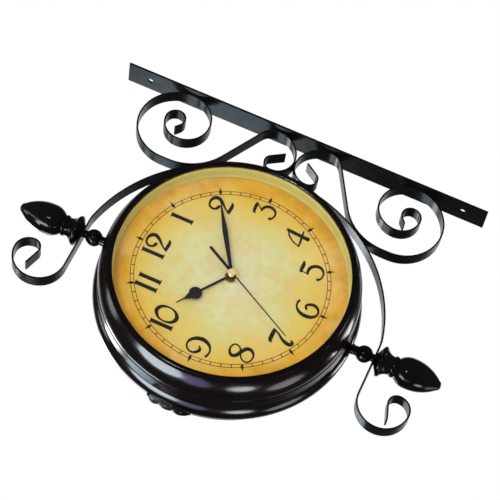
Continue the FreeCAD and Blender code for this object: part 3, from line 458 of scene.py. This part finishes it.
def pen_stroke(points):
    """Flat faces of one pen stroke with round ends: a list of points and a list of faces."""
    line, closed = smooth_line(points)
    spots, faces = [], []
    for index, here in enumerate(line):
        ahead = line[min(index + 1, len(line) - 1)] - line[max(index - 1, 0)]
        if closed and index in (0, len(line) - 1):
            ahead = line[1] - line[-2]
        side = Vector((-ahead.y, ahead.x)).normalized() * here.z * pen_weight / 2
        spots += [(here.x + side.x, here.y + side.y), (here.x - side.x, here.y - side.y)]
        if index:
            faces.append((2 * index - 2, 2 * index - 1, 2 * index + 1, 2 * index))
    if not closed:
        for end, inner in ((0, 1), (len(line) - 1, len(line) - 2)):
            here, out = line[end], line[end] - line[inner]
            heading = math.atan2(out.y, out.x)
            reach = here.z * pen_weight / 2
            first = len(spots)
            for step in range(cap_steps + 1):
                angle = heading - math.pi / 2 + math.pi * step / cap_steps
                spots.append((here.x + reach * math.cos(angle), here.y + reach * math.sin(angle)))
            faces.append(tuple(range(first, first + cap_steps + 1)))
    return spots, faces


def numeral_shapes():
    shapes = []
    for label, (x, z) in numeral_places.items():
        offsets = digit_offsets.get(label, (0.0,))
        for digit, shift in zip(label, offsets):
            for stroke in digit_strokes[digit]:
                spots, faces = pen_stroke(stroke)
                shapes.append(([(x + shift + u, z + v) for u, v in spots], faces))
    return shapes


def on_circle(radius, degrees):
    """Place on the dial, degrees from twelve o'clock."""
    return (radius * math.sin(math.radians(degrees)), radius * math.cos(math.radians(degrees)))


def half_turn(width, radius):
    """Degrees that half a width takes up at a radius."""
    return math.degrees(width / 2 / radius)


def circle_shape(radius):
    """Fine line of the minute track, all the way round."""
    edges = (radius - track_line_width / 2, radius + track_line_width / 2)
    spots = [on_circle(edge, 360 * step / track_steps) for step in range(track_steps) for edge in edges]
    count = len(spots)
    faces = [(i, i + 1, (i + 3) % count, (i + 2) % count) for i in range(0, count, 2)]
    return spots, faces


def track_shapes():
    """Two circles, and between them a tick for each minute that has no hour mark."""
    shapes = [circle_shape(radius) for radius in track_radii]
    inner, outer = track_radii
    turn = half_turn(minute_tick_width, inner)
    for minute in range(minutes):
        if minute % (minutes // hours):
            middle = 360 * minute / minutes
            spots = [on_circle(inner, middle - turn), on_circle(inner, middle + turn),
                     on_circle(outer, middle + turn), on_circle(outer, middle - turn)]
            shapes.append((spots, [(0, 1, 2, 3)]))
    return shapes


def mark_shapes():
    """Spear across the minute track at each hour."""
    shapes = []
    turn = half_turn(mark_width, mark_wide_radius)
    for hour in range(hours):
        middle = 360 * hour / hours
        spots = [on_circle(mark_inner_radius, middle), on_circle(mark_wide_radius, middle + turn),
                 on_circle(mark_outer_radius, middle), on_circle(mark_wide_radius, middle - turn)]
        shapes.append((spots, [(0, 1, 2, 3)]))
    return shapes


def printed(name, shapes, material, lift):
    """The same print on both dials, a thin film of ink that rides with the case."""
    for side, turn in (("front", 1), ("rear", -1)):
        depth = -turn * (dial_faces[side] + lift * mm)
        points, faces = [], []
        for spots, shape_faces in shapes:
            first = len(points)
            points += [(axis_x + turn * x * mm, depth, z * mm) for x, z in spots]
            faces += [tuple(first + i for i in face) for face in shape_faces]
        piece = mesh_object(side + "_" + name, points, faces, material)
        film = piece.modifiers.new("film", "SOLIDIFY")
        film.thickness = lift * mm * film_share
        film.offset = 0
        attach(piece, "case")


printed("numerals", numeral_shapes(), ink, print_lift)
printed("minute_track", track_shapes(), track_ink, print_lift / 2)
printed("hour_marks", mark_shapes(), ink, print_lift)


# Bosses of the second hands

def boss_piece(side, out):
    """Domed disc on the second hand; out is -1 where its face looks along -Y."""
    low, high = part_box(side + "_second_hand")
    foot = low.y if out < 0 else high.y
    turns = [2 * math.pi * step / boss_steps for step in range(boss_steps)]
    points = [(axis_x + radius * mm * math.cos(turn), foot + out * height * mm, radius * mm * math.sin(turn))
              for radius, height in boss_profile for turn in turns]
    faces = []
    for ring in range(len(boss_profile) - 1):
        start, above = ring * boss_steps, (ring + 1) * boss_steps
        for step in range(boss_steps):
            after = (step + 1) % boss_steps
            faces.append((start + step, start + after, above + after, above + step))
    faces.append(tuple(range(boss_steps)))
    faces.append(tuple(range(len(points) - boss_steps, len(points))))
    return mesh_object(side + "_second_boss", points, faces, looks["nut_brass"])


for side, out in (("front", -1), ("rear", 1)):
    boss = boss_piece(side, out)
    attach(boss, side + "_seconds")


# Stage

def soft_light(name, place_at, size, power, colour, lights, mirrored):
    """Oval soft box aimed at the clock: it lights the paint, is mirrored in the gloss, or both."""
    lamp = bpy.data.lights.new(name, "AREA")
    lamp.shape = "ELLIPSE"
    lamp.size, lamp.size_y = size
    lamp.energy = power
    lamp.color = colour
    light = bpy.data.objects.new(name, lamp)
    light.location = place_at
    light.rotation_mode = "QUATERNION"
    light.rotation_quaternion = (case_centre - Vector(place_at)).to_track_quat("-Z", "Y")
    light.visible_diffuse = lights
    light.visible_transmission = lights
    light.visible_glossy = mirrored
    bpy.context.scene.collection.objects.link(light)


for name, place_at, size, power, mirrored in lamps:
    soft_light(name, place_at, size, power, white, lights=True, mirrored=mirrored)
for name, place_at, size, power, colour in cards:
    soft_light(name, place_at, size, power, colour, lights=False, mirrored=True)


def background(tree, colour, strength):
    """Plain light from all round."""
    node = tree.nodes.new("ShaderNodeBackground")
    node.inputs["Color"].default_value = (*colour, 1)
    node.inputs["Strength"].default_value = strength
    return node.outputs["Background"]


world = bpy.data.worlds.new("studio")
bpy.context.scene.world = world
world.use_nodes = True
sky = world.node_tree
sky.nodes.remove(sky.nodes["Background"])
surround = background(sky, surround_colour, surround_strength)
shine = background(sky, shine_colour, shine_strength)
backdrop = background(sky, white, backdrop_strength)
rays = sky.nodes.new("ShaderNodeLightPath").outputs
direction = sky.nodes.new("ShaderNodeTexCoord").outputs["Generated"]
sight_line = (camera_target - camera_place).normalized()
ahead = vector_step(sky, "DOT_PRODUCT", direction, sight_line)["Value"]
in_gloss = choose(sky, span(sky, ahead, (backdrop_edge, backdrop_full)), shine, backdrop)
unseen = choose(sky, rays["Is Glossy Ray"], surround, in_gloss)
direct = combined(sky, "MAXIMUM", rays["Is Camera Ray"], rays["Is Transmission Ray"])
sky.links.new(choose(sky, direct, unseen, backdrop), sky.nodes["World Output"].inputs["Surface"])

floor_material, floor_tree, floor_shader = new_material("pale_floor")
floor_colour = two_tone(floor_tree, noise(floor_tree, scale=3, detail=2), floor_dark, floor_light)
floor_tree.links.new(floor_colour, floor_shader.inputs["Base Color"])
floor_shader.inputs["Roughness"].default_value = 0.9
floor_corners = [(axis_x + x * floor_reach, y * floor_reach, floor_height)
                 for x, y in ((-1, -1), (1, -1), (1, 1), (-1, 1))]
floor = mesh_object("floor", floor_corners, [(0, 1, 2, 3)], floor_material)
floor.visible_glossy = False

lens = bpy.data.cameras.new("camera")
lens.lens = camera_lens
lens.sensor_width = sensor_width
camera = bpy.data.objects.new("camera", lens)
camera.location = camera_place
camera.rotation_mode = "QUATERNION"
level = (camera_target - camera_place).to_track_quat("-Z", "Y")
camera.rotation_quaternion = level @ Quaternion((0, 0, 1), math.radians(-camera_roll))
bpy.context.scene.collection.objects.link(camera)
bpy.context.scene.camera = camera
bpy.context.scene.view_settings.view_transform = "Standard"
